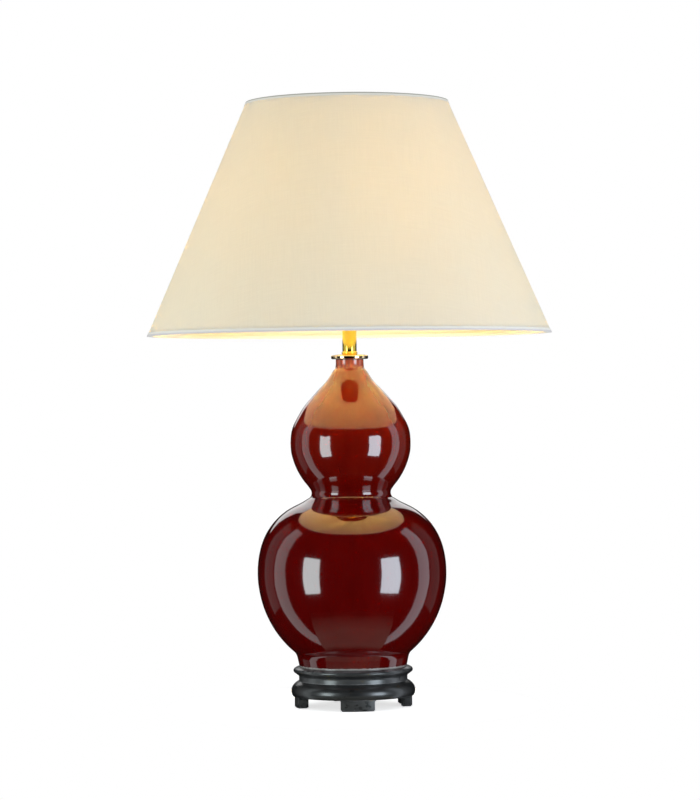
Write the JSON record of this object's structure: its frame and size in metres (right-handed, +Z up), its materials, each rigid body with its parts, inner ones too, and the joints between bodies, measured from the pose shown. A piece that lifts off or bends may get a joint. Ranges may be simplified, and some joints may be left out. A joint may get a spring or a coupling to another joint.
{
  "type": "table lamp",
  "caption": "Table lamp with a glazed double-gourd ceramic vase on a footed black wooden stand, a brass stem and a wide cone fabric shade.",
  "frame": {"origin": "on the table, under the middle of the stand", "axes": "+Z up along the lamp's axis, -Y towards the viewer of the front, +X to the viewer's right"},
  "size_m": [0.4571, 0.4572, 0.6824],
  "materials": {
    "black_lacquer": "satin black lacquer, rubbed on the edges",
    "oxblood_glaze": "high gloss oxblood glaze",
    "felt": "black felt",
    "brass": "polished",
    "steel": "zinc plated",
    "white_wire": "white coated wire",
    "porcelain": "unglazed white porcelain",
    "black_plastic": "moulded",
    "bakelite": "polished dark phenolic",
    "rubber": "matte",
    "shade_fabric": "cream woven cotton, bonded",
    "shade_liner": "white styrene",
    "trim_tape": "cream bias tape",
    "pearl_glass": "pearl coated",
    "clear_glass": "clear",
    "bulb_metal": "drawn, satin",
    "black_glass": "black vitreous insulator",
    "solder": "dull solder",
    "filament": "hot tungsten"
  },
  "bodies": {
    "root": {"stand_apron": "black_lacquer", "stand_top": "black_lacquer", "stand_screws": "steel", "foot_front": "black_lacquer", "foot_right": "black_lacquer", "foot_back": "black_lacquer", "foot_left": "black_lacquer", "foot_pad_front": "felt", "foot_pad_right": "felt", "foot_pad_back": "felt", "foot_pad_left": "felt", "vase_seat_felt": "felt", "vase": "oxblood_glaze", "threaded_rod": "steel", "rod_washer": "steel", "rod_lock_washer": "steel", "rod_nut": "steel", "rod_bush": "black_plastic", "neck_gasket": "rubber", "vase_cap": "brass", "stem_collar": "brass", "stem_tube": "brass", "holder_cap": "brass", "holder_grub_screw": "steel", "holder_body": "brass", "holder_insert": "porcelain", "terminal_blocks": "brass", "terminal_screws": "steel", "centre_contact": "brass", "screw_shell": "brass", "holder_skirt": "brass", "shade_ring_lower": "brass"},
    "switch": {"switch_bar": "brass", "switch_tips": "bakelite"},
    "clamp_ring": {"shade_ring_upper": "brass"},
    "carrier": {"carrier_base_ring": "brass", "carrier_arm_1": "brass", "carrier_arm_2": "brass", "carrier_arm_3": "brass", "carrier_top_ring": "brass"},
    "bulb": {"bulb_glass": "pearl_glass", "bulb_cap": "bulb_metal", "bulb_insulator": "black_glass", "bulb_contact": "solder", "bulb_stem": "clear_glass", "bulb_leads": "steel", "bulb_filament": "filament"},
    "shade": {"shade_fabric": "shade_fabric", "shade_liner": "shade_liner", "shade_wire_bottom": "white_wire", "shade_wire_top": "white_wire", "shade_trim_bottom": "trim_tape", "shade_trim_top": "trim_tape", "spider_ring": "white_wire", "spider_strut_1": "white_wire", "spider_strut_2": "white_wire", "spider_strut_3": "white_wire"}
  },
  "joints": [
    {"name": "switch_push", "type": "slide", "parent": "root", "child": "switch", "axis": [-1, 0, 0], "range_m": [0, 0.006]},
    {"name": "ring_turn", "type": "hinge", "parent": "root", "child": "clamp_ring", "pos_m": [0, 0, 0.4746], "axis": [0, 0, 1], "range_deg": [0, 1440]},
    {"name": "shade_turn", "type": "hinge", "parent": "root", "child": "carrier", "pos_m": [0, 0, 0.4733], "axis": [0, 0, 1], "continuous": true},
    {"name": "shade_lift", "type": "slide", "parent": "carrier", "child": "shade", "axis": [0, 0, 1], "range_m": [0, 0.26]},
    {"name": "bulb_lift", "type": "slide", "parent": "root", "child": "bulb", "axis": [0, 0, 1], "range_m": [0, 0.24]}
  ]
}
